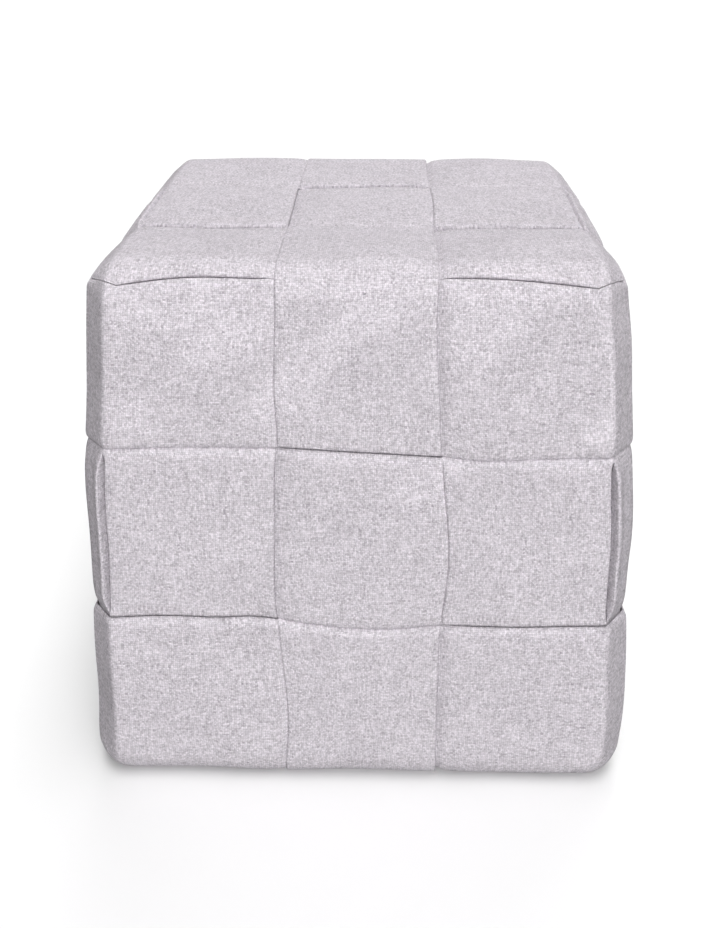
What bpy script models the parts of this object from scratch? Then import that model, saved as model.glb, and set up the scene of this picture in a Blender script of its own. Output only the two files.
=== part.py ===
"""A cube pouf stool woven from nine padded cloth bands.

Each band is one closed loop, filled and about as thick as a finger. Three run up the front, over the
top and down the back, three run over the sides and the top, and three belts run round the four
walls. On every face they weave over and under each other in a checkerboard of nine cells.

The weave is worked out in two layers on either side of a rounded box, the middle surface. In a cell
one band lies outside that surface and the other inside it. Where a band dives from one layer to the
other, the band that it passes tapers to its edge, so the two fit each other with a small gap. The
whole is then settled into the shape that the stool has in use: drawn in towards its top, and
narrower in the middle lane than beside it.
Units are metres, +Z is up, and the origin is on the floor under the middle of the stool.
"""

import math

import bmesh
import bpy
from mathutils import Vector

# Driving dimensions.
WIDTH = 0.440  # over the crowns where the stool is widest, along X and along Y
HEIGHT = 0.450
HALF_THICK = 0.0038  # half of a band's thickness where it is thickest
FLOOR_LAYER = 0.0056  # the outer layer under the stool, pressed flat by its weight
EDGE_RADIUS = 0.0204  # of the middle surface, along the edges of the cube
GAP = 0.0012  # left between two bands
CROSSED_GAP = 0.0023  # where a band changes layer as it turns an edge of the cube

# The rise and fall of a band across a cell, as a share of HALF_THICK.
EDGE_POWER = 12  # how flat a cell stays before it falls to its creases
CROWN = 0.12  # the share of the rise that is an even crown
EDGE_DROP = 0.20  # how much thinner a band gets towards an edge of the cube

# The settled shape.
WIDEST_AT = 0.25  # the height at which the stool is widest, as a share of HEIGHT
DRAW_IN = 0.092  # how fast its width falls above and below, as a share of WIDTH
LANE_SHIFT = 0.0053  # how far each side of the middle lane is pushed inwards, at most
EDGE_SLANT = 0.64  # the sides' edges slant from a bend near the front to the sides' widest place
BEND_POWER = 12  # how sharp that bend is

# Where the slits run between the bands that lie along an edge of the cube, as an angle.
SHORT_REACH = math.radians(22.5)
LONG_REACH = math.radians(67.5)
TOP_SLIT = math.radians(52)  # from the top's normal, along the front and the back
LOW_SLIT = math.radians(22.5)  # the same underneath
LEAST_REACH = math.radians(15)  # less than this leaves the arc to the band beyond
FADE_START = 0.5  # a hidden lip fades out between a crease and this share of the corner's cell
SLIT_ROUND = 0.0022  # how far the outer lip of an open slit is rounded back
TIP_HALF = 0.00018  # half of the thickness of a blunt tip

# Where the sections and the stations along a band are taken, as a share of half a cell.
CELL_STEPS = (-0.88, -0.55, 0.55, 0.88)
TIP_STEP = 0.984
ARC_ANGLES = tuple(math.radians(angle) for angle in (22.5, 45.0, 67.5))
LEAST_ANGLE = math.radians(5)  # between a place on the arc and the lip
LIP_STEPS = (0.0, 0.35, 0.70, 0.93)  # along the last flat stretch of a band that keeps off the arc

X, Y, Z = range(3)
LANES = (-1, 0, 1)
TOP_MIDDLE = HEIGHT - 2 * HALF_THICK  # height of the middle surface under the top bands
HALF = (
    WIDTH / 2 - 2 * HALF_THICK,
    WIDTH / 2 - 2 * HALF_THICK,
    (TOP_MIDDLE - FLOOR_LAYER) / 2,
)
CENTRE = Vector((0.0, 0.0, (TOP_MIDDLE + FLOOR_LAYER) / 2))
PITCH = tuple(2 * half / len(LANES) for half in HALF)

# Where a band from under one of two tips passes over the other at an edge, the tips taper.
CROSSED = ((X, Z), (Z, X))

BANDS = {
    "long_band_left": (X, -1),
    "long_band_middle": (X, 0),
    "long_band_right": (X, 1),
    "side_band_front": (Y, -1),
    "side_band_middle": (Y, 0),
    "side_band_back": (Y, 1),
    "belt_lower": (Z, -1),
    "belt_middle": (Z, 0),
    "belt_upper": (Z, 1),
}

CLOTH_COLOUR = (0.62, 0.59, 0.62, 1.0)


def clear_scene():
    for obj in list(bpy.data.objects):
        bpy.data.objects.remove(obj)


def cell_rise(x):
    """Height of a cell at x, from 1 at its middle to 0 at the creases at x = -1 and 1."""
    x = min(abs(x), 1.0)
    return 1 - (1 - CROWN) * x**EDGE_POWER - CROWN * x * x


def edge_rise(x):
    """The same towards an edge of the cube, where there is no crease."""
    return 1 - EDGE_DROP * min(abs(x), 1.0) ** 2


def share_of_cell(pitch, flat_distance, angle, end=math.pi / 4):
    """How far a place is from the middle of its cell, where the cell ends this far round the edge."""
    half = pitch / 2 - EDGE_RADIUS
    return (flat_distance + EDGE_RADIUS * min(angle, end)) / (half + EDGE_RADIUS * end)


def crossed_rise(pitch, flat_distance, angle, over):
    """Height of a cell where its band changes layer: the outer cell goes on further round the edge."""
    end = LONG_REACH if over else SHORT_REACH
    return cell_rise(share_of_cell(pitch, flat_distance, angle, end))


def is_over(axis, normal, lane, cell):
    """Whether the band round this axis is the outer one in a cell of the face that looks along normal."""
    other = X + Y + Z - axis - normal
    return ((lane + cell) % 2 == 0) == (axis > other)


def edge_is_crossed(axis):
    """Whether a band round this axis changes layer as it turns each edge of the cube."""
    return axis == Y


class Station:
    """One section's place along a band: a point of the inner box, the way out, and the layer."""

    def __init__(self, across, outward, point, direction, level, corner_distance, turn=None):
        self.across = across  # the axis that the band goes round
        self.outward = outward  # axis that the face looks along, or the pair of them at an edge
        self.point = point
        self.direction = direction
        self.level = level  # 1 in the outer layer, -1 in the inner one
        self.corner_distance = corner_distance
        self.turn = turn  # angle turned from the first of the two faces, at an edge


def side_stations(axis, lane, normal, way):
    """Stations along the flat of one face, in the direction in which the loop goes round."""
    run = X + Y + Z - axis - normal
    order = 1 if (run - normal) % 3 == 1 else -1
    forward = way * order
    flat_half = HALF[run] - EDGE_RADIUS
    stations = []
    for cell in LANES:
        sign = 1 if is_over(axis, normal, lane, cell * forward) else -1
        for step in CELL_STEPS:
            place = (cell + step / 2) * PITCH[run]
            beyond = abs(cell) and step * cell > 0
            if beyond and abs(step) == max(CELL_STEPS):
                place = cell * flat_half
            distance = abs(place) - PITCH[run]
            if not beyond:
                rise = cell_rise(step)
            elif edge_is_crossed(axis):
                rise = crossed_rise(PITCH[run], distance, 0.0, sign > 0)
            else:
                rise = edge_rise(share_of_cell(PITCH[run], distance, 0.0))
            stations.append((place, sign * rise))
        if cell < max(LANES):
            stations.append(((cell + 0.5) * PITCH[run], 0.0))
    direction = Vector((0, 0, 0))
    direction[normal] = way
    made = []
    for place, level in stations:
        point = Vector((0, 0, 0))
        point[normal] = way * (HALF[normal] - EDGE_RADIUS)
        point[run] = forward * place
        made.append(Station(axis, normal, point, direction, level, flat_half - abs(place)))
    return made


def edge_stations(axis, lane, first, first_way, second, second_way):
    """Stations round the edge between two faces."""
    point = Vector((0, 0, 0))
    point[first] = first_way * (HALF[first] - EDGE_RADIUS)
    point[second] = second_way * (HALF[second] - EDGE_RADIUS)
    made = []
    starts_over = is_over(axis, first, lane, second_way)
    for angle in ARC_ANGLES:
        direction = Vector((0, 0, 0))
        direction[first] = first_way * math.cos(angle)
        direction[second] = second_way * math.sin(angle)
        if edge_is_crossed(axis):
            pitch = PITCH[second] if starts_over else PITCH[first]
            from_over = angle if starts_over else math.pi / 2 - angle
            level = crossed_rise(pitch, pitch / 2 - EDGE_RADIUS, from_over, True)
        else:
            pitch = PITCH[second] if angle <= math.pi / 4 else PITCH[first]
            half_arc = min(angle, math.pi / 2 - angle)
            level = edge_rise(share_of_cell(pitch, pitch / 2 - EDGE_RADIUS, half_arc))
            level *= 1 if starts_over else -1
        made.append(Station(axis, (first, second), point, direction, level, 0.0, angle))
    return made


def loop_stations(axis, lane):
    """All stations of one band, once round its loop."""
    first, second = (a for a in (X, Y, Z) if a != axis)
    if axis == Y:
        first, second = second, first
    corners = ((first, 1), (second, 1), (first, -1), (second, -1))
    stations = []
    for here, after in zip(corners, corners[1:] + corners[:1]):
        stations += side_stations(axis, lane, *here)
        stations += edge_stations(axis, lane, *here, *after)
    return stations


def reach_on_face(axis, normal, low):
    """How far round the edge a band reaches from a face: low means at the stool's lower edge."""
    slit = LOW_SLIT if low else TOP_SLIT
    reach = {(Y, X): LONG_REACH, (Y, Z): slit, (Z, Y): math.pi / 2 - slit}
    return reach.get((axis, normal), SHORT_REACH)


def reach_at(station, lane):
    """How far round the cube's edge the outermost band reaches here, and whether it tapers there."""
    axis, faces, turn = station.across, station.outward, station.turn
    low = lane < 0 if axis == Z else station.point.z < 0
    if turn is None:
        reach = reach_on_face(axis, faces, low)
        if axis == X or (axis == Y and faces == X):
            corner_cell = station.corner_distance / PITCH[Z if faces != Z else Y]
            flat_cell = 1 - EDGE_RADIUS / PITCH[Z if faces != Z else Y]
            hold = (corner_cell - FADE_START) / (flat_cell - FADE_START)
            reach *= max(0.0, min(1.0, hold))
        return reach, 1.0 if (axis, faces) in CROSSED else 0.0
    if axis == Z:
        from_front = turn if faces[0] == Y else math.pi / 2 - turn
        slope = math.sin(from_front) * math.tan(SHORT_REACH)
        slope += math.cos(from_front) * math.tan(reach_on_face(Z, Y, low))
        return math.atan(slope), max(0.0, from_front / (math.pi / 4) - 1)
    from_top = turn if faces[0] == Z else math.pi / 2 - turn
    if axis == X:
        return 0.0, 1.0 if from_top < math.pi / 4 else 0.0
    slope = math.cos(from_top) - math.sin(from_top) * math.tan(SHORT_REACH)
    return max(0.0, math.atan(slope / math.tan(reach_on_face(Z, Y, low)))), 0.0


def flat_span(pitch):
    """The last stretch before an edge: the crossing bands run straight across it."""
    return CELL_STEPS[2] * pitch / 2, pitch / 2 - EDGE_RADIUS


def outer_places(pitch, reach):
    """Where an outermost band's section is taken from its flat to its edge: (distance, angle)."""
    first, last = flat_span(pitch)
    angles = [angle for angle in (0.0, *ARC_ANGLES) if angle < reach - LEAST_ANGLE]
    if reach < LEAST_REACH:
        angles = []
    steps = LIP_STEPS[: len(LIP_STEPS) - len(angles)]
    flat = [(first + share * (last - first), 0.0) for share in steps]
    return flat + [(last, angle) for angle in (*angles, reach)]


def section_places(lane, pitch, reach, taper):
    """Places across a band: (distance from the middle of its cell, angle round the edge, rise)."""
    places = [(step * pitch / 2, 0.0, cell_rise(step)) for step in CELL_STEPS]
    if lane == 0:
        return places
    places = places[:2]
    first, last = (share_of_cell(pitch, distance, 0.0, SHORT_REACH) for distance in flat_span(pitch))
    end = max(reach, SHORT_REACH)
    for distance, angle in outer_places(pitch, reach):
        share = share_of_cell(pitch, distance, angle, end)
        along = min(1.0, (share - first) / (last - first))
        tapered = cell_rise(first) + along * (cell_rise(last) - cell_rise(first))
        tapered = min(tapered, cell_rise(share))
        full = edge_rise(share_of_cell(pitch, distance, min(angle, math.pi / 2 - angle)))
        places.append((distance, angle, (1 - taper) * full + taper * tapered))
    return places


def edge_shape(outward):
    """How far out the surface lies in this direction at an edge, as a share of a plain round.

    The edges beside the left and the right are slanted, but underneath they are plainly round.
    """
    along = abs(outward.x)
    across = math.hypot(outward.y, outward.z)
    slanted = along + EDGE_SLANT * across
    shape = (across**BEND_POWER + slanted**BEND_POWER) ** (-1 / BEND_POWER)
    return 1 + (shape - 1) * min(1.0, 1 + outward.z) ** 2


def settle(point):
    """Moves a point of the regular weave to where it lies in the settled stool."""
    scale = 1 - DRAW_IN * (point.z / HEIGHT - WIDEST_AT) ** 2
    shifted = point.x - LANE_SHIFT * math.sin(math.pi * point.x / HALF[X])
    return Vector((shifted * scale, point.y * scale, max(point.z, 0.0)))


def section_points(station, lane):
    """The outline of a band at one station, from its inner crease round the outer side and back."""
    axis = station.across
    pitch = PITCH[axis]
    side = lane or 1
    reach, taper = reach_at(station, lane)
    places = section_places(lane, pitch, reach, taper)
    crosses = station.turn is not None and edge_is_crossed(axis)
    gap = CROSSED_GAP if crosses else GAP
    outline = [(-TIP_STEP * pitch / 2, 0.0, station.level * HALF_THICK)]
    outer, inner = [], []
    for number, (distance, angle, rise) in enumerate(places):
        out = HALF_THICK * (station.level + rise) - gap / 2
        into = HALF_THICK * (station.level - rise) + gap / 2
        if lane and number == len(places) - 1:
            lean = max(-1.0, min(1.0, 2 * station.level))
            tip = HALF_THICK * station.level + lean * gap / 2
            out = max(out - (1 - taper) * SLIT_ROUND, tip + TIP_HALF)
            into = min(into, tip - TIP_HALF)
        outer.append((distance, angle, max(out, into + TIP_HALF)))
        inner.append((distance, angle, into))
    outline += outer
    if lane == 0:
        outline.append((TIP_STEP * pitch / 2, 0.0, station.level * HALF_THICK))
    outline += reversed(inner)
    edge = Vector((0, 0, 0))
    edge[axis] = side
    points = []
    for distance, angle, height in outline:
        base = station.point + edge * ((1 if lane else 0) * pitch + distance)
        outward = station.direction * math.cos(angle) + edge * math.sin(angle)
        points.append(base + outward * edge_shape(outward) * (EDGE_RADIUS + height))
    if lane:
        end = len(outer)
        slide = edge * math.cos(reach) - station.direction * math.sin(reach)
        for number in (end, end + 1):
            points[number] -= slide * GAP / 2
    return [settle(CENTRE + point) for point in points]


def make_cloth(name):
    cloth = bpy.data.materials.new(name + "_cloth")
    cloth.use_nodes = True
    shader = cloth.node_tree.nodes["Principled BSDF"]
    shader.inputs["Base Color"].default_value = CLOTH_COLOUR
    shader.inputs["Roughness"].default_value = 0.95
    shader.inputs["Metallic"].default_value = 0.0
    return cloth


def make_band(name, axis, lane, collection):
    """A band starts as a torus, whose rings become the sections along the woven loop."""
    sections = [section_points(station, lane) for station in loop_stations(axis, lane)]
    bpy.ops.mesh.primitive_torus_add(
        major_segments=len(sections), minor_segments=len(sections[0])
    )
    band = bpy.context.object
    band.name = name
    band.data.name = name
    points = [point for section in sections for point in section]
    for vertex, point in zip(band.data.vertices, points):
        vertex.co = point
    mesh = bmesh.new()
    mesh.from_mesh(band.data)
    bmesh.ops.recalc_face_normals(mesh, faces=mesh.faces)
    mesh.to_mesh(band.data)
    mesh.free()
    band.data.shade_smooth()
    band.data.materials.append(make_cloth(name))
    for owner in band.users_collection:
        owner.objects.unlink(band)
    collection.objects.link(band)
    return band


def main():
    clear_scene()
    collection = bpy.data.collections.new("cube_pouf")
    bpy.context.scene.collection.children.link(collection)
    for name, (axis, lane) in BANDS.items():
        make_band(name, axis, lane, collection)


main()
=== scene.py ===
"""A cube pouf stool woven from nine padded cloth bands: the visual model around the CAD frame.

Every band is one closed, stuffed loop. Its shape comes from the same two-layer weave as its solid:
in a cell one band lies outside the middle surface and the other inside it. Here it is drawn finely,
with rounded edges, open slits at the edges of the cube, and the unevenness of a sewn thing.

A band is a ring of sections. The course of a band says where each section stands and on which layer,
and a section says how far out each of its points lies. Points are then moved twice, first to the
settled shape of the whole stool and then by its unevenness. Both moves are the same for all bands,
so the bands still fit each other. Units are metres, +Z is up and the front faces -Y.
"""

import math

import bpy
import numpy as np
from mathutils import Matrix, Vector


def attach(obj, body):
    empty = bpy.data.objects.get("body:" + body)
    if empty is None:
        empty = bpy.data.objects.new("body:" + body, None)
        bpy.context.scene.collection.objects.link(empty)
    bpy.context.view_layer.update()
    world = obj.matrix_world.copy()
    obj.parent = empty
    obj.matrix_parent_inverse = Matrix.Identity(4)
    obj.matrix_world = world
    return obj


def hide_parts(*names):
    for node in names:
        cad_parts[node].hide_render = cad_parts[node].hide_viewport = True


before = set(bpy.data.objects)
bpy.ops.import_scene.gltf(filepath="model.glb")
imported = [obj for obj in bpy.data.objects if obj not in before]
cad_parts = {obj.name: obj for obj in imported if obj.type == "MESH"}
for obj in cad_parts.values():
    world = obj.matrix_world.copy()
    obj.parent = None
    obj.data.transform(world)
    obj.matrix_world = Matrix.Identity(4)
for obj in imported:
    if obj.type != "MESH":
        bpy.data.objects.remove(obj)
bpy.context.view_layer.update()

# ---------------------------------------------------------------- sizes, in metres
WIDTH = 0.440  # over the crowns where the stool is widest, as the solids have it
HEIGHT = 0.450
OUTER_RADIUS = 0.028  # of the outer surface, along the edges of the cube
HALF_THICK = 0.0028  # half of the relief that shows, which is flatter than the stuffed solids
FLOOR_LAYER = 0.0042  # height of the middle surface underneath, whose crowns the floor presses flat
EDGE_RADIUS = OUTER_RADIUS - 2 * HALF_THICK  # of the middle surface
SHORT_REACH = math.radians(22.5)  # round an edge of the cube, from a face to the slit near it
LONG_REACH = math.radians(67.5)  # and to the slit near the other face
TOP_SLIT = math.radians(52)  # from the top's normal, along the front and the back
LOW_SLIT = math.radians(22.5)  # the same underneath
TOP_MIDDLE = HEIGHT - 2 * HALF_THICK
HALF = (
    WIDTH / 2 - 2 * HALF_THICK,
    WIDTH / 2 - 2 * HALF_THICK,
    (TOP_MIDDLE - FLOOR_LAYER) / 2,
)
CENTRE = np.array((0.0, 0.0, (TOP_MIDDLE + FLOOR_LAYER) / 2))
X, Y, Z = range(3)
LANES = (-1, 0, 1)
PITCH = tuple(2 * half / len(LANES) for half in HALF)
CROSSED = ((X, Z), (Z, X))  # a band's axis, and a face where its lip tapers under the band beyond
BANDS = {  # the axis that each band runs round, and its lane along that axis
    "long_band_left": (X, -1),
    "long_band_middle": (X, 0),
    "long_band_right": (X, 1),
    "side_band_front": (Y, -1),
    "side_band_middle": (Y, 0),
    "side_band_back": (Y, 1),
    "belt_lower": (Z, -1),
    "belt_middle": (Z, 0),
    "belt_upper": (Z, 1),
}

# ---------------------------------------------------------------- the look of the padding
# Depths and rises are shares of HALF_THICK. Where there are three values, they are for the bands
# that run round X (the long bands), round Y (the side bands) and round Z (the belts).
GAP = 0.0006  # between two bands
CROWN = 0.12  # share of the rise that is an even crown
EDGE_DROP = 0.10  # thinning towards an edge of the cube
BARE_FROM = 0.10  # share of the half cell in which a band's own rounded edge gives way to the fit

# How a band dives along its length where another one covers it.
DIVE_POWER = (110.0, 10.0, 10.0)  # how late it starts to fall towards a crease
OPEN_CREASE = 0.45  # its depth at the crease at its lower, front or left end
SHUT_CREASE = -0.35  # the same at its other end, where it stands up against the band above it
OPEN_GAP = 0.0020  # how far before the crease a long band has dived at its lower or front end
DEEPEST = -0.9  # and to which level
OVERHANG = 0.0018  # how far a long band bulges over that crease
NOSE_FROM = 0.9  # from which share of the half cell on
NOSE_AT, NOSE_SPREAD = 0.70, 0.35  # the level at which it bulges most, and how far that spreads
CROSSED_POWER = 260.0  # how late a side band dives where it changes layer at an edge of the cube
CROSSED_DEPTH = 1.0  # and how deep it is there

# The edges along the two sides of a band.
ROUND_EDGE = (0.0024, 0.0180, 0.0075)  # width over which it falls
EDGE_POWER = (0.5, 1.0, 0.5)  # how full the fall is: 0.5 is a quarter round, 1 a soft slope
EDGE_FALL = (0.0, 0.35, 0.35)  # how deep it turns in

# The slits between two bands that lie along an edge of the cube.
SLIT_GAP = 0.0028  # how far the two lips of an open slit at the left or the right stand apart
TOP_GAP = 0.0009  # the same for the slits along the front and the back
SLIT_ENDS = 0.016  # the way from an edge of the cube to where a slit along the other edge is open
SLIT_OPENS = (0.010, 0.022, 0.022)  # the way from a crease to where a slit is open
LIP_FALL = 1.9  # how deep the lip of an upright slit turns in
TOP_FALL = 1.0  # the same for the slits along the front and the back
SHARP_LIP = 0.0010  # width over which a slit's crisp lip is rounded
SOFT_LIP = 0.0012  # the same for a side band's lip
TOP_LIP = 0.0022  # the same for the slits along the front and the back
SOFT_BACK = 0.0010  # how much further back a side band's lip stands
CROSSED_BACK = 0.0012  # the same for a long band's lip along the top's sides
RIDGE = 1.2  # how far a side band swells beside an upright slit
TOP_RIDGE = 0.9  # the same for the middle side band beside the slit along the top
RIDGE_AT, RIDGE_SPREAD = 0.0036, 0.0042  # how far from the slit it swells most, and how far that spreads
RIDGE_WALL = 1.4  # how deep the ridge's own wall is, as a share of its height
LIP_DROOP = 0.5  # how far a long band sinks towards such a slit
DROOP_FROM = 0.011  # and from how far away
UNDER_SINK = 2.2  # how far a belt sinks beneath an upright slit
UNDER_FROM = 0.020  # and from how far before the edge
TOP_SAG = math.radians(14)  # how far the slits along the front and the back sink towards the corners
SAG_FROM, SAG_TO = 0.55, 0.90  # between which shares of the half width they sink
FADE_START = 0.5  # a hidden lip fades out between a crease and this share of the corner's cell
TIP = 0.04  # rise of a lip that tapers under the band beyond

# ---------------------------------------------------------------- the settled shape, as the solids have it
WIDEST_AT = 0.25  # the height at which the stool is widest, as a share of HEIGHT
DRAW_IN = 0.092  # how fast its width falls above and below, as a share of WIDTH
LANE_SHIFT = 0.0064  # how far each side of the middle lane is pushed inwards, at most
EDGE_SLANT = 0.64  # the upright edges slant from a bend near the front to the sides' widest place
TOP_SLANT = 0.95  # the top's edges at the sides slope this steeply
TOP_REACH = 1.26  # how far out that slope lies, as a share of the edge's radius
BEND_POWER = 18  # how sharp those bends are

# ---------------------------------------------------------------- how fine the meshes are
STATIONS_PER_CELL = 34
STATIONS_PER_EDGE = 48
CROWDING = 0.88  # how much closer the stations stand at the creases
ROUND_POINTS = 7
FLAT_POINTS = 20
INNER_POINTS = 12
LIP_POINTS = 6  # more of both on a band that reaches round an edge of the cube
LIP_CROWDING = 1.5
INNER_INSET = 0.004  # from a band's edge to the first point of its hidden inner side
BLUNT = 0.0003  # least thickness of a lip
BLUNT_BACK = 0.0004  # from the lip to the first point behind it


def ease(t):
    t = np.clip(t, 0.0, 1.0)
    return t * t * (3 - 2 * t)


def dive(x, power):
    """Rise of a cell from its middle to the creases at x = -1 and 1."""
    x = np.minimum(np.abs(x), 1.0)
    return 1 - (1 - CROWN) * x**power - CROWN * x * x


def layer(x, power, over, depth):
    """Height of a band's layer along it, which reaches this depth at the crease at 1."""
    steepness = (1 - CROWN) * power + 2 * CROWN
    early = depth / steepness if over else -depth / steepness
    x = abs(x) / (1 - early)
    rise = float(dive(x, power)) if x <= 1 else max(-(x - 1) * steepness, DEEPEST)
    return rise if over else -rise


def hump(x, middle, spread):
    """A smooth hump of height 1."""
    return np.exp(-(((x - middle) / spread) ** 2))


def edge_rise(x):
    """The same towards an edge of the cube, where there is no crease."""
    x = np.minimum(np.abs(x), 1.0)
    return 1 - EDGE_DROP * (2 * x**2 - x**4)


def share_of_cell(pitch, distance, angle, end=math.pi / 4):
    """How far a place is from the middle of its cell, where the cell ends this far round the edge."""
    half = pitch / 2 - EDGE_RADIUS
    return (distance + EDGE_RADIUS * np.minimum(angle, end)) / (half + EDGE_RADIUS * end)


def crossed_share(pitch, distance, angle, over):
    """The same where the band changes layer: its outer cell goes on further round the edge."""
    return share_of_cell(pitch, distance, angle, LONG_REACH if over else SHORT_REACH)


def is_over(axis, normal, lane, cell):
    """Whether the band round this axis is the outer one in a cell of the face along normal."""
    other = X + Y + Z - axis - normal
    return ((lane + cell) % 2 == 0) == (axis > other)


def crowded(count, at_end=True):
    """Values from 0 to 1 that stand closer together at 0, and at 1 too if at_end."""
    u = np.linspace(0.0, 1.0, count)
    if at_end:
        return u - CROWDING * np.sin(2 * math.pi * u) / (2 * math.pi)
    return u - CROWDING * np.sin(math.pi * u) / math.pi


# ---------------------------------------------------------------- the course of a band
def unit(axis, length=1.0):
    v = np.zeros(3)
    v[axis] = length
    return v


def side_course(axis, lane, normal, way):
    """Places along the flat of one face, as a list of dicts."""
    run = X + Y + Z - axis - normal
    forward = way * (1 if (run - normal) % 3 == 1 else -1)
    pitch = PITCH[run]
    flat_half = HALF[run] - EDGE_RADIUS
    course = []
    for cell in LANES:
        over = is_over(axis, normal, lane, cell * forward)
        low = max((cell - 0.5) * pitch, -flat_half)
        high = min((cell + 0.5) * pitch, flat_half)
        if cell == 0:
            places = low + (high - low) * crowded(STATIONS_PER_CELL)
        elif cell > 0:
            places = low + (high - low) * crowded(STATIONS_PER_CELL, at_end=False)
        else:
            places = high - (high - low) * crowded(STATIONS_PER_CELL, at_end=False)[::-1]
        if cell > min(LANES):
            places = places[1:]
        for place in places:
            share = (place - cell * pitch) / (pitch / 2)
            bulge = 0.0
            beyond = cell != 0 and share * cell > 0
            if beyond and axis == Y:
                share = crossed_share(pitch, abs(place) - pitch, 0.0, over)
            elif beyond:
                share = share_of_cell(pitch, abs(place) - pitch, 0.0)
            if beyond and axis != Y:
                level = float(edge_rise(share)) * (1 if over else -1)
                if axis == Z and not over:
                    level -= UNDER_SINK * float(ease(1 - (flat_half - abs(place)) / UNDER_FROM))
                bare = 1.0
            else:
                at_low_end = (share * forward < 0) == over
                depth = OPEN_CREASE if at_low_end else SHUT_CREASE
                power = CROSSED_POWER if beyond else DIVE_POWER[axis]
                if beyond:
                    depth = CROSSED_DEPTH
                elif axis == X and at_low_end:
                    depth = OPEN_GAP / (pitch / 2) * DIVE_POWER[X]
                level = layer(share, power, over, depth)
                if axis == X and over and at_low_end and abs(share) > NOSE_FROM:
                    bulge = math.copysign(OVERHANG * hump(level, NOSE_AT, NOSE_SPREAD), share)
                bare = float(ease((1 - abs(share)) / BARE_FROM))
            to_crease = abs(abs(place) - pitch / 2)
            before_corner = flat_half - abs(place)
            base = unit(normal, way * (HALF[normal] - EDGE_RADIUS)) + unit(run, forward * (place + bulge))
            opening = float(ease(to_crease / SLIT_OPENS[axis])) * float(ease(before_corner / SLIT_ENDS))
            course.append(
                dict(
                    base=base,
                    out=unit(normal, way),
                    level=level,
                    bare=bare if over else 0.0,
                    ridge=0.0,
                    opening=opening,
                    corner=before_corner,
                    faces=normal,
                    turn=None,
                    step=place,
                )
            )
    return course


def edge_course(axis, lane, first, first_way, second, second_way):
    """Places round the edge between two faces."""
    base = unit(first, first_way * (HALF[first] - EDGE_RADIUS))
    base += unit(second, second_way * (HALF[second] - EDGE_RADIUS))
    course = []
    starts_over = is_over(axis, first, lane, second_way)
    for angle in np.linspace(0.0, math.pi / 2, STATIONS_PER_EDGE + 2)[1:-1]:
        if axis == Y:
            from_over = angle if starts_over else math.pi / 2 - angle
            over = from_over < LONG_REACH
            from_face = from_over if over else math.pi / 2 - from_over
            pitch = PITCH[second] if starts_over == over else PITCH[first]
            share = crossed_share(pitch, pitch / 2 - EDGE_RADIUS, from_face, over)
            level = layer(share, CROSSED_POWER, over, CROSSED_DEPTH)
            bare = float(ease((1 - share) / BARE_FROM))
            from_slit = (LONG_REACH - from_over) * OUTER_RADIUS
            ridge = TOP_RIDGE * hump(from_slit, RIDGE_AT, RIDGE_SPREAD) if over else 0.0
        else:
            over = starts_over
            pitch = PITCH[second] if angle <= math.pi / 4 else PITCH[first]
            half_arc = min(angle, math.pi / 2 - angle)
            level = float(edge_rise(share_of_cell(pitch, pitch / 2 - EDGE_RADIUS, half_arc)))
            level *= 1 if over else -1
            if axis == Z and not over:
                level -= UNDER_SINK
            bare, ridge = 1.0, 0.0
        course.append(
            dict(
                base=base,
                out=unit(first, first_way * math.cos(angle)) + unit(second, second_way * math.sin(angle)),
                level=level,
                bare=bare if over else 0.0,
                ridge=ridge,
                opening=0.0,
                corner=0.0,
                faces=(first, second),
                turn=angle,
                step=angle * OUTER_RADIUS,
            )
        )
    return course


def loop_course(axis, lane):
    """All places of one band, once round its loop, with the cloth's length at each."""
    first, second = (a for a in (X, Y, Z) if a != axis)
    if axis == Y:
        first, second = second, first
    corners = ((first, 1), (second, 1), (first, -1), (second, -1))
    course, length = [], 0.0
    for here, after in zip(corners, corners[1:] + corners[:1]):
        side = side_course(axis, lane, *here)
        start = side[0]["step"]
        for place in side:
            place["length"] = length + place["step"] - start
        length = side[-1]["length"]
        edge = edge_course(axis, lane, *here, *after)
        for place in edge:
            place["length"] = length + place["step"]
        length += OUTER_RADIUS * math.pi / 2
        course += side + edge
    return course, length


def reach_on_face(axis, normal, low, off_middle=1.0):
    """How far round the edge a band reaches from a face: low means at the stool's lower edge."""
    sag = TOP_SAG * float(np.clip((off_middle - SAG_FROM) / (SAG_TO - SAG_FROM), 0.0, 1.0)) ** 2
    slit = LOW_SLIT if low else TOP_SLIT + sag
    reach = {(Y, X): LONG_REACH, (Y, Z): slit, (Z, Y): math.pi / 2 - slit}
    return reach.get((axis, normal), SHORT_REACH)


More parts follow.
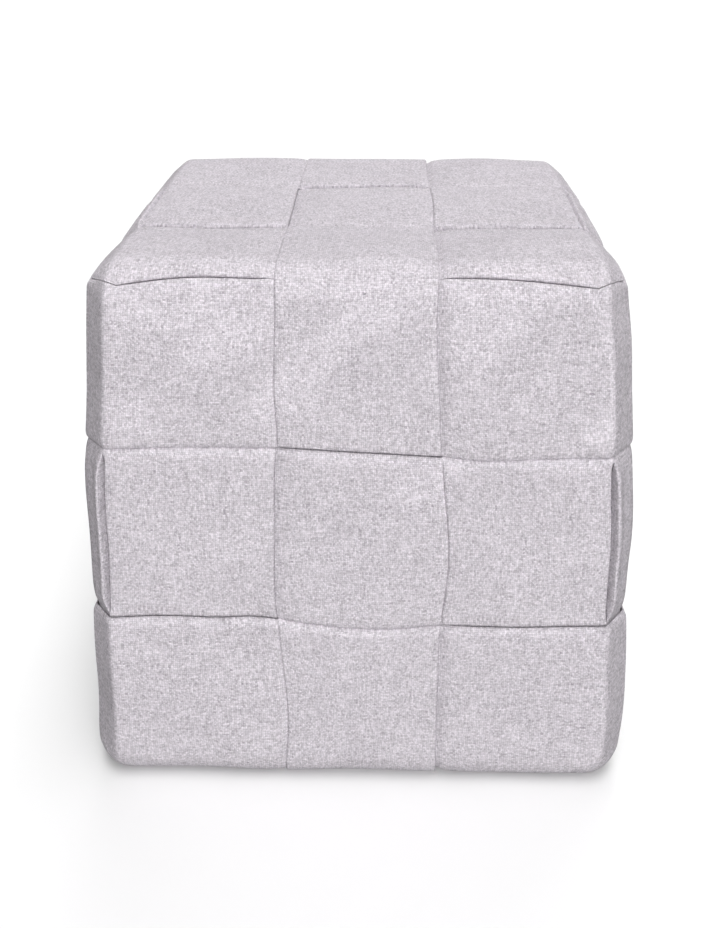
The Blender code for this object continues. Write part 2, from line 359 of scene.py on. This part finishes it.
def reach_at(axis, lane, place):
    """How far round the cube's edge the outermost band reaches, and how far it tapers there."""
    faces = place["faces"]
    low = lane < 0 if axis == Z else place["base"][Z] < 0
    if place["turn"] is None:
        reach = reach_on_face(axis, faces, low, abs(place["base"][X]) / HALF[X])
        if axis == X or (axis == Y and faces == X):
            cell = PITCH[Z if faces != Z else Y]
            hold = (place["corner"] / cell - FADE_START) / (1 - EDGE_RADIUS / cell - FADE_START)
            reach *= float(np.clip(hold, 0.0, 1.0))
        return reach, 1.0 if (axis, faces) in CROSSED else 0.0
    turn = place["turn"]
    if axis == X:
        from_top = turn if faces[0] == Z else math.pi / 2 - turn
        return 0.0, float(ease((math.pi / 4 - from_top) / (math.pi / 8)))
    if axis == Y:
        from_top = turn if faces[0] == Z else math.pi / 2 - turn
        slope = math.cos(from_top) - math.sin(from_top) * math.tan(SHORT_REACH)
        return max(0.0, math.atan(slope / math.tan(reach_on_face(Z, Y, low)))), 0.0
    from_front = turn if faces[0] == Y else math.pi / 2 - turn
    slope = math.sin(from_front) * math.tan(SHORT_REACH)
    slope += math.cos(from_front) * math.tan(reach_on_face(Z, Y, low))
    return math.atan(slope), float(ease(from_front / (math.pi / 4) - 1))


# ---------------------------------------------------------------- the settled shape
def edge_shape(outward):
    """How far out the surface lies in each direction at an edge, as a share of a plain round."""
    across = np.hypot(outward[:, Y], outward[:, Z])
    along = np.abs(outward[:, X])
    slanted = along + EDGE_SLANT * across
    shape = (across**BEND_POWER + slanted**BEND_POWER) ** (-1 / BEND_POWER)
    facet = (TOP_SLANT * along + across) / TOP_REACH
    top_shape = (across**BEND_POWER + facet**BEND_POWER + along**BEND_POWER) ** (-1 / BEND_POWER)
    at_top = (outward[:, Z] / np.maximum(across, 1e-6)) ** 2
    shape += (top_shape - shape) * at_top
    return 1 + (shape - 1) * np.minimum(1.0, 1 + outward[:, Z]) ** 2


def settle(points):
    """Moves points of the regular weave to where they lie in the settled stool."""
    scale = 1 - DRAW_IN * (points[:, Z] / HEIGHT - WIDEST_AT) ** 2
    shifted = points[:, X] - LANE_SHIFT * np.sin(math.pi * points[:, X] / HALF[X])
    return np.stack([shifted * scale, points[:, Y] * scale, points[:, Z]], axis=1)


# ---------------------------------------------------------------- the section of a band
def round_off(depth, power=0.5):
    """A quarter round: 0 at its outermost place and 1 where it is over, for depth from 0 to 1."""
    depth = np.clip(depth, 0.0, 1.0)
    return np.maximum(1 - (1 - depth) ** 2, 0.0) ** power


ROUND_DEPTHS = 1 - np.sin(np.linspace(0.0, math.pi / 2, ROUND_POINTS + 1)[1:])[::-1]


def across_power(axis, place):
    """The power with which the bands that cross this one dive here."""
    faces = place["faces"]
    if place["turn"] is None:
        return DIVE_POWER[X + Y + Z - axis - faces]
    first, second = (DIVE_POWER[X + Y + Z - axis - face] for face in faces)
    return first + (second - first) * place["turn"] / (math.pi / 2)


def middle_section(axis, place, pitch):
    """Outline of a band with a crease at both sides: (distance, angle, height) of each point."""
    half = pitch / 2
    inset = ROUND_EDGE[axis]
    power = across_power(axis, place)
    ends = half - inset * ROUND_DEPTHS
    flat = np.linspace(-(half - inset), half - inset, FLAT_POINTS)
    across = np.concatenate([-ends, flat, ends[::-1]])
    across[0], across[-1] = -half + GAP / 2, half - GAP / 2
    depth = (half - np.abs(across)) / inset
    x = across / half
    full = (1 - CROWN * x * x + EDGE_FALL[axis]) * round_off(depth, EDGE_POWER[axis]) - EDGE_FALL[axis]
    fits = dive(x, power)
    swell = place["ridge"] * ease((half - np.abs(across)) / SLIT_OPENS[axis])
    outer = HALF_THICK * (place["level"] + swell + fits + (full - fits) * place["bare"])
    inner_across = np.linspace(half - INNER_INSET, -half + INNER_INSET, INNER_POINTS)
    inner = HALF_THICK * (place["level"] - dive(inner_across / half, power)) + GAP / 2
    outer[1:-1] -= GAP / 2 * (1 - place["bare"])
    distance = np.concatenate([across, inner_across])
    return distance, np.zeros_like(distance), np.concatenate([outer, inner])


def lip_on_face(axis, face):
    """Gap, fall, rounded width, shift, ridge and droop of a band's lip in the slit at this face's edge."""
    if (axis, face) in ((Y, Z), (Z, Y)):
        return np.array((TOP_GAP, TOP_FALL, TOP_LIP, 0.0, 0.0, 0.0))
    if axis == Y:
        return np.array((SLIT_GAP, LIP_FALL + RIDGE_WALL * RIDGE, SOFT_LIP, SOFT_BACK, RIDGE, 0.0))
    back = CROSSED_BACK if face == Z else 0.0
    return np.array((SLIT_GAP, LIP_FALL, SHARP_LIP, back, 0.0, LIP_DROOP))


def lip_at(axis, place):
    """The same anywhere along a band, also round an edge of the cube."""
    if place["turn"] is None:
        return lip_on_face(axis, place["faces"])
    first, second = (lip_on_face(axis, face) for face in place["faces"])
    return first + (second - first) * place["turn"] / (math.pi / 2)


def outermost_section(axis, lane, place, pitch):
    """Outline of a band that lies along an edge of the cube."""
    half = pitch / 2
    flat_half = half - EDGE_RADIUS
    reach, taper = reach_at(axis, lane, place)
    power = across_power(axis, place)
    side_round = ROUND_EDGE[axis]
    opening = place["opening"]
    slit_gap, slit_fall, slit_round, slit_shift, slit_ridge, slit_droop = lip_at(axis, place)
    slit = GAP + (slit_gap - GAP) * opening
    last = flat_half + OUTER_RADIUS * reach - slit / 2 - slit_shift * opening
    lip = slit_round + (side_round - slit_round) * taper * (1 - opening)
    ends = -(half - side_round * ROUND_DEPTHS)
    ends[0] = -half + GAP / 2
    towards_lip = 1 - (1 - np.linspace(0.0, 1.0, FLAT_POINTS + LIP_POINTS)) ** LIP_CROWDING
    flat = -(half - side_round) + (last - lip + half - side_round) * towards_lip
    lips = last - lip * ROUND_DEPTHS[::-1]
    path = np.concatenate([ends, flat, lips])
    outer_count = len(path)
    inner_path = np.linspace(last - BLUNT_BACK, -half + INNER_INSET, INNER_POINTS + LIP_POINTS)
    path = np.concatenate([path, inner_path])
    distance = np.minimum(path, flat_half)
    angle = np.maximum(path - flat_half, 0.0) / OUTER_RADIUS
    x = distance / half
    share = share_of_cell(pitch, distance, np.minimum(angle, math.pi / 2 - angle))
    tapered_share = share_of_cell(pitch, distance, angle, max(reach, SHORT_REACH))
    tapered = dive(tapered_share, power)
    fits = np.where(path > 0, (1 - taper) * edge_rise(share) + taper * tapered, dive(x, power))
    out_path = path[:outer_count]
    near_crease = (out_path + half) / side_round
    near_lip = (last - out_path) / lip
    full_crease = 1 - CROWN * x[:outer_count] ** 2 + EDGE_FALL[axis]
    full_crease = full_crease * round_off(near_crease, EDGE_POWER[axis]) - EDGE_FALL[axis]
    lip_fall = 1 - round_off(near_lip)
    from_lip = last - out_path
    swell = slit_ridge * hump(from_lip, RIDGE_AT, RIDGE_SPREAD)
    droop = slit_droop * (1 - ease(from_lip / DROOP_FROM))
    slit_rise = edge_rise(share[:outer_count]) + (swell - droop - lip_fall * slit_fall) * opening
    crossed_rise = (1 - CROWN * np.minimum(tapered_share[:outer_count], 1.0) ** 2) * (1 - lip_fall)
    full_lip = (1 - taper) * slit_rise + taper * crossed_rise
    full = np.where(out_path < 0, full_crease, full_lip)
    fit_out = fits[:outer_count]
    rise = fit_out + (full - fit_out) * place["bare"]
    if taper > 0:
        rise[-1] = rise[-1] * (1 - taper) + TIP * taper
    outer = HALF_THICK * (place["level"] + rise) - GAP / 2 * (1 - place["bare"])
    inner = HALF_THICK * (place["level"] - fits[outer_count:]) + GAP / 2
    inner[0] = min(inner[0], outer[-1] - BLUNT)
    return distance, angle, np.concatenate([outer, inner])


def band_grid(axis, lane):
    """Every point of one band, as stations by section points, with the cloth's own coordinates."""
    course, length = loop_course(axis, lane)
    pitch = PITCH[axis]
    points, cloth = [], []
    for place in course:
        if lane:
            distance, angle, height = outermost_section(axis, lane, place, pitch)
            side = unit(axis, lane)
            offset = pitch
        else:
            distance, angle, height = middle_section(axis, place, pitch)
            side = unit(axis)
            offset = 0.0
        base = place["base"] + np.outer(offset + distance, side)
        outward = np.outer(np.cos(angle), place["out"]) + np.outer(np.sin(angle), side)
        reach_out = edge_shape(outward) * (EDGE_RADIUS + height)
        points.append(settle(CENTRE + base + outward * reach_out[:, None]))
        around = np.linalg.norm(np.diff(points[-1], axis=0), axis=1)
        across = np.concatenate([[0.0], np.cumsum(around)]) - pitch / 2
        cloth.append(np.stack([np.full_like(across, place["length"]), across * (lane or 1)], axis=1))
    return np.array(points), np.array(cloth), length


# ---------------------------------------------------------------- unevenness
# Each row is a place, how far it spreads and how far it moves, all along X, Y and Z.
UNEVEN = (
    # the crease under the upper row, from the left to the right
    ((-0.150, -0.21, 0.298), (0.075, 0.05, 0.045), (0, 0, 0.0050)),
    ((-0.045, -0.21, 0.298), (0.050, 0.05, 0.040), (0, 0, 0.0055)),
    ((0.105, -0.21, 0.298), (0.040, 0.05, 0.040), (0, 0, -0.0038)),
    # the crease above the lower row
    ((-0.140, -0.21, 0.151), (0.080, 0.05, 0.040), (0, 0, 0.0050)),
    ((-0.085, -0.21, 0.151), (0.020, 0.05, 0.030), (0, 0, 0.0030)),
    ((0.020, -0.21, 0.151), (0.050, 0.05, 0.040), (0, 0, -0.0050)),
    # the creases beside the middle column, down the front
    ((-0.066, -0.21, 0.310), (0.030, 0.05, 0.030), (0.0025, 0, 0)),
    ((-0.066, -0.21, 0.060), (0.040, 0.05, 0.080), (0.0080, 0, 0)),
    ((0.066, -0.21, 0.410), (0.050, 0.05, 0.060), (-0.0022, 0, 0)),
    ((0.066, -0.21, 0.215), (0.045, 0.05, 0.050), (0.0075, 0, 0)),
    # the top sags at the crease behind its front row and stands up at the back
    ((0.0, -0.072, 0.447), (0.5, 0.045, 0.03), (0, -0.0060, -0.0035)),
    ((0.0, 0.170, 0.447), (0.5, 0.060, 0.03), (0, 0, 0.0025)),
    # the sides near the front
    ((0.215, -0.19, 0.235), (0.030, 0.06, 0.045), (0.0035, 0, 0)),
    ((0.215, -0.19, 0.070), (0.040, 0.08, 0.060), (0.0040, 0, 0)),
    ((0.215, -0.19, 0.430), (0.030, 0.08, 0.030), (-0.0025, 0, 0)),
    ((-0.215, -0.19, 0.260), (0.030, 0.06, 0.040), (-0.0020, 0, 0)),
    ((-0.215, -0.19, 0.020), (0.040, 0.08, 0.035), (-0.0030, 0, 0)),
)
# Each row is a slow wave: its length along X, Y and Z, where it starts, and how far it moves cloth.
WAVES = (
    ((0.183, 0.219, 0.161), 0.4, (0.0004, 0.0003, 0.0005)),
    ((-0.121, 0.177, 0.237), 2.1, (-0.0003, 0.0004, 0.0003)),
    ((0.093, -0.113, -0.087), 4.4, (0.0002, -0.0002, 0.0002)),
)


def uneven(points):
    """Moves places in space, the same for every band, so that crossing bands still fit."""
    moved = points.copy()
    for place, spread, move in UNEVEN:
        away = (((points - place) / spread) ** 2).sum(axis=-1)
        moved += np.exp(-away)[..., None] * np.array(move)
    for length, start, move in WAVES:
        phase = (points / length).sum(axis=-1) * 2 * math.pi + start
        moved += np.sin(phase)[..., None] * np.array(move)
    return moved


def rest_on_floor(points):
    points[..., 2] = np.maximum(points[..., 2], 0.0)
    return points


# ---------------------------------------------------------------- meshes
def grid_mesh(name, points, cloth, length):
    """A closed mesh from rings of points. Both directions go round and meet."""
    rings, count, _ = points.shape
    i, j = np.meshgrid(np.arange(rings), np.arange(count), indexing="ij")
    i1, j1 = (i + 1) % rings, (j + 1) % count
    quads = np.stack([i * count + j, i1 * count + j, i1 * count + j1, i * count + j1], axis=-1).reshape(-1, 4)
    u, v = cloth[..., 0], cloth[..., 1]
    ahead = np.where(i1 == 0, u[i1, j] + length, u[i1, j])
    last = j1 == 0
    across = np.where(last, v[i, j] + (v[i, j] - v[i, j - 1]), v[i, j1])
    corner_u = np.stack([u[i, j], ahead, ahead, u[i, j]], axis=-1)
    corner_v = np.stack([v[i, j], v[i1, j], across, across], axis=-1)
    mesh = bpy.data.meshes.new(name)
    mesh.vertices.add(rings * count)
    mesh.vertices.foreach_set("co", points.reshape(-1))
    mesh.loops.add(quads.size)
    mesh.loops.foreach_set("vertex_index", quads.reshape(-1))
    mesh.polygons.add(len(quads))
    mesh.polygons.foreach_set("loop_start", np.arange(0, quads.size, 4))
    mesh.update(calc_edges=True)
    uv_map = mesh.uv_layers.new(name="cloth")
    uv_map.data.foreach_set("uv", np.stack([corner_u, corner_v], axis=-1).reshape(-1))
    mesh.validate()
    mesh.shade_smooth()
    return mesh


def signed_volume(points):
    """Six times the volume inside a closed grid, negative if it faces inwards."""
    a = points
    b = np.roll(a, -1, axis=0)
    c = np.roll(b, -1, axis=1)
    d = np.roll(a, -1, axis=1)
    return (np.cross(a, b) * c).sum() + (np.cross(a, c) * d).sum()


def make_band(name, axis, lane, material):
    points, cloth, length = band_grid(axis, lane)
    points = rest_on_floor(uneven(points))
    if signed_volume(points) < 0:
        points, cloth = points[:, ::-1], cloth[:, ::-1]
    mesh = grid_mesh(name, np.ascontiguousarray(points), cloth, length)
    piece = bpy.data.objects.new("cloth_" + name, mesh)
    bpy.context.scene.collection.objects.link(piece)
    mesh.materials.append(material)
    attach(piece, "root")
    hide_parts(name)
    return piece


# ---------------------------------------------------------------- the cloth
class Nodes:
    """Short calls for building one node tree."""

    def __init__(self, material):
        material.use_nodes = True
        self.tree = material.node_tree
        self.shader = self.tree.nodes["Principled BSDF"]

    def add(self, kind, inputs=(), **settings):
        node = self.tree.nodes.new(kind)
        for key, value in settings.items():
            setattr(node, key, value)
        for key, value in dict(inputs).items():
            self.put(value, node.inputs[key])
        return node

    def put(self, value, socket):
        if isinstance(value, bpy.types.NodeSocket):
            self.tree.links.new(value, socket)
        else:
            socket.default_value = value

    def math(self, operation, a, b=0.0, c=0.0, clamp=False):
        return self.add("ShaderNodeMath", {0: a, 1: b, 2: c}, operation=operation, use_clamp=clamp).outputs[0]

    def mix(self, factor, a, b):
        """A number between a and b."""
        return self.add("ShaderNodeMix", {"Factor": factor, 2: a, 3: b}).outputs[0]

    def noise(self, x, y, scale, detail=2.0, seed=0.0):
        place = self.add("ShaderNodeCombineXYZ", {0: x, 1: y, 2: seed}).outputs[0]
        noise = self.add("ShaderNodeTexNoise", {"Vector": place, "Scale": scale, "Detail": detail})
        return noise.outputs["Fac"]


THREAD = 0.0016  # from one thread to the next; lengths below are in threads
LIGHT_YARN = (0.80, 0.755, 0.805, 1.0)
DARK_YARN = (0.22, 0.20, 0.225, 1.0)
DRIFT = dict(scale=0.06, by=3.0)  # a slow wandering of the threads
SHAKE_SCALE = 0.8  # and a quick one, from one thread to the next
SLUB = dict(along=0.16, across=3.7, scale=1.0)  # thick and thin places along a yarn
FLECK_SCALE = 0.75
CLOUD_SCALE = 0.03
# the thread crowns' share of the tone is painted shade: darker in the gaps between threads, lighter on each
# crown
TONE = dict(slub=0.85, fleck=0.75, crown_height_and_shade=0.20, cloud=0.10, darkest=0.50, lightest=1.20)
ROUGHNESS = dict(least=0.86, more=0.12)
RELIEF = dict(crown_height_and_shade=0.7, slub=0.5, strength=0.5, height=0.0007)


def make_cloth():
    """A plain weave of uneven, heathered yarns, along the band and across it, with painted shade in the gaps
    between threads.
    """
    cloth = bpy.data.materials.new("pale_heathered_weave")
    n = Nodes(cloth)
    uv = n.add("ShaderNodeUVMap", uv_map="cloth").outputs[0]
    split = n.add("ShaderNodeSeparateXYZ", {0: uv})
    u = n.math("DIVIDE", split.outputs[0], THREAD)
    v = n.math("DIVIDE", split.outputs[1], THREAD)
    drift_u = n.noise(u, v, DRIFT["scale"], 2.0, 3.1)
    drift_v = n.noise(u, v, DRIFT["scale"], 2.0, 7.7)
    shake_u = n.noise(u, v, SHAKE_SCALE, 1.0, 13.1)
    shake_v = n.noise(u, v, SHAKE_SCALE, 1.0, 17.7)
    u = n.math("ADD", u, n.math("ADD", n.math("MULTIPLY", drift_u, DRIFT["by"]), shake_u))
    v = n.math("ADD", v, n.math("ADD", n.math("MULTIPLY", drift_v, DRIFT["by"]), shake_v))
    thread_u, thread_v = n.math("FLOOR", u), n.math("FLOOR", v)
    odd = n.math("MODULO", n.math("ABSOLUTE", n.math("ADD", thread_u, thread_v)), 2.0)
    across_u = n.math("SINE", n.math("MULTIPLY", n.math("FRACT", u), math.pi))
    across_v = n.math("SINE", n.math("MULTIPLY", n.math("FRACT", v), math.pi))
    # yarns along the band show where odd is 0, and yarns across it where odd is 1
    along_u, along_v = n.math("MULTIPLY", u, SLUB["along"]), n.math("MULTIPLY", v, SLUB["along"])
    yarn_u = n.math("MULTIPLY", thread_u, SLUB["across"])
    yarn_v = n.math("MULTIPLY", thread_v, SLUB["across"])
    slub_along = n.noise(along_u, yarn_v, SLUB["scale"], 3.0, 11.0)
    slub_across = n.noise(yarn_u, along_v, SLUB["scale"], 3.0, 23.0)
    slub = n.mix(odd, slub_along, slub_across)
    fleck = n.noise(u, v, FLECK_SCALE, 2.0, 31.0)
    cloud = n.noise(u, v, CLOUD_SCALE, 3.0, 41.0)
    crown_height_and_shade = n.math("MULTIPLY", across_u, across_v)
    tone = n.math("ADD", n.math("MULTIPLY", slub, TONE["slub"]), n.math("MULTIPLY", fleck, TONE["fleck"]))
    # the thread crowns' height also goes into the colour as painted shade, darker in the gaps between threads
    tone = n.math("ADD", tone, n.math("MULTIPLY", crown_height_and_shade, TONE["crown_height_and_shade"]))
    tone = n.math("ADD", tone, n.math("MULTIPLY", cloud, TONE["cloud"]))
    limits = {"From Min": TONE["darkest"], "From Max": TONE["lightest"]}
    ramp = n.add("ShaderNodeMapRange", {"Value": tone, **limits}, clamp=True)
    colour = n.add(
        "ShaderNodeMix",
        {0: ramp.outputs[0], 6: DARK_YARN, 7: LIGHT_YARN},
        data_type="RGBA",
    ).outputs[2]
    n.put(colour, n.shader.inputs["Base Color"])
    rough = n.math("ADD", ROUGHNESS["least"], n.math("MULTIPLY", fleck, ROUGHNESS["more"]))
    n.put(rough, n.shader.inputs["Roughness"])
    n.shader.inputs["Sheen Weight"].default_value = 0.06
    n.shader.inputs["Sheen Roughness"].default_value = 0.5
    n.shader.inputs["Sheen Tint"].default_value = (1.0, 0.97, 1.0, 1.0)
    n.shader.inputs["Specular IOR Level"].default_value = 0.15
    height = n.math("ADD", n.math("MULTIPLY", crown_height_and_shade, RELIEF["crown_height_and_shade"]), n.math("MULTIPLY", slub, RELIEF["slub"]))
    relief = {"Height": height, "Strength": RELIEF["strength"], "Distance": RELIEF["height"]}
    raised = n.add("ShaderNodeBump", relief)
    n.put(raised.outputs[0], n.shader.inputs["Normal"])
    return cloth


# ---------------------------------------------------------------- the scene
CAMERA = dict(side=0.0228, distance=1.0878, above_top=0.2582, pitch=16.28, turn=1.345)
PICTURE = dict(height=928, focus=1229.5, middle=264.0)  # in pixels; cropped, so its middle isn't the lens's
FLOOR = dict(reach=12.0, drop=0.0006, white=0.95, roughness=0.9)
# The arch of light: its middle and half width from left to right, its strength overhead, how much more it
# gives in front and how much less below, and the light everywhere else.
ARCH = dict(side=0.085, width=0.42, strength=2.60, forward=1.32, below=0.5, elsewhere=0.03)
SUN = dict(strength=0.5, angle=40.0, way=(-0.10, 0.30, -1.0))


def make_camera():
    """The photo's viewpoint, in front of the stool and above its top."""
    data = bpy.data.cameras.new("camera")
    camera = bpy.data.objects.new("camera", data)
    bpy.context.scene.collection.objects.link(camera)
    camera.location = (CAMERA["side"], -CAMERA["distance"], HEIGHT + CAMERA["above_top"])
    camera.rotation_euler = (math.radians(90 - CAMERA["pitch"]), 0.0, math.radians(CAMERA["turn"]))
    data.lens = PICTURE["focus"] / PICTURE["height"] * data.sensor_width
    data.shift_y = (PICTURE["middle"] - PICTURE["height"] / 2) / PICTURE["height"]
    data.clip_start, data.clip_end = 0.01, 100.0
    bpy.context.scene.camera = camera


def make_floor():
    """A plain white floor. It doesn't light the stool, whose sides are dark in the photo."""
    mesh = bpy.data.meshes.new("floor")
    corners = [(x * FLOOR["reach"], y * FLOOR["reach"], 0) for x, y in ((-1, -1), (1, -1), (1, 1), (-1, 1))]
    mesh.from_pydata(corners, [], [(0, 1, 2, 3)])
    floor = bpy.data.objects.new("floor", mesh)
    floor.location.z = -FLOOR["drop"]
    bpy.context.scene.collection.objects.link(floor)
    paint = bpy.data.materials.new("floor_paint")
    paint.use_nodes = True
    shader = paint.node_tree.nodes["Principled BSDF"]
    shader.inputs["Base Color"].default_value = (FLOOR["white"],) * 3 + (1.0,)
    shader.inputs["Roughness"].default_value = FLOOR["roughness"]
    mesh.materials.append(paint)
    floor.visible_diffuse = False


def make_light():
    """A wide arch of soft light over the stool from front to back, dark at both sides, and a weak sun."""
    world = bpy.data.worlds.new("studio")
    bpy.context.scene.world = world
    world.use_nodes = True
    nodes, links = world.node_tree.nodes, world.node_tree.links

    def math_node(operation, a, b, clamp=False):
        node = nodes.new("ShaderNodeMath")
        node.operation, node.use_clamp = operation, clamp
        for socket, value in zip(node.inputs, (a, b)):
            if isinstance(value, bpy.types.NodeSocket):
                links.new(value, socket)
            else:
                socket.default_value = value
        return node.outputs[0]

    direction = nodes.new("ShaderNodeSeparateXYZ")
    links.new(nodes.new("ShaderNodeTexCoord").outputs["Generated"], direction.inputs[0])
    off_middle = math_node("DIVIDE", math_node("SUBTRACT", direction.outputs[0], ARCH["side"]), ARCH["width"])
    fall = math_node("SUBTRACT", 1.0, math_node("MULTIPLY", off_middle, off_middle), clamp=True)
    arch = math_node("MULTIPLY", math_node("MULTIPLY", fall, fall), ARCH["strength"])
    to_front = math_node("MULTIPLY", math_node("MINIMUM", direction.outputs[1], 0.0), -ARCH["forward"])
    depth = math_node("MULTIPLY", math_node("MINIMUM", direction.outputs[2], 0.0), ARCH["below"])
    arch = math_node("MULTIPLY", arch, math_node("ADD", 1.0, to_front))
    arch = math_node("MULTIPLY", arch, math_node("ADD", 1.0, depth))
    links.new(math_node("ADD", arch, ARCH["elsewhere"]), nodes["Background"].inputs["Strength"])
    nodes["Background"].inputs["Color"].default_value = (1.0, 1.0, 1.0, 1.0)
    data = bpy.data.lights.new("key", "SUN")
    data.energy = SUN["strength"]
    data.angle = math.radians(SUN["angle"])
    key = bpy.data.objects.new("key", data)
    bpy.context.scene.collection.objects.link(key)
    key.rotation_euler = Vector(SUN["way"]).to_track_quat("-Z", "Y").to_euler()


make_camera()
cloth = make_cloth()
for band_name, (band_axis, band_lane) in BANDS.items():
    make_band(band_name, band_axis, band_lane, cloth)
make_floor()
make_light()
bpy.context.scene.view_settings.view_transform = "Standard"
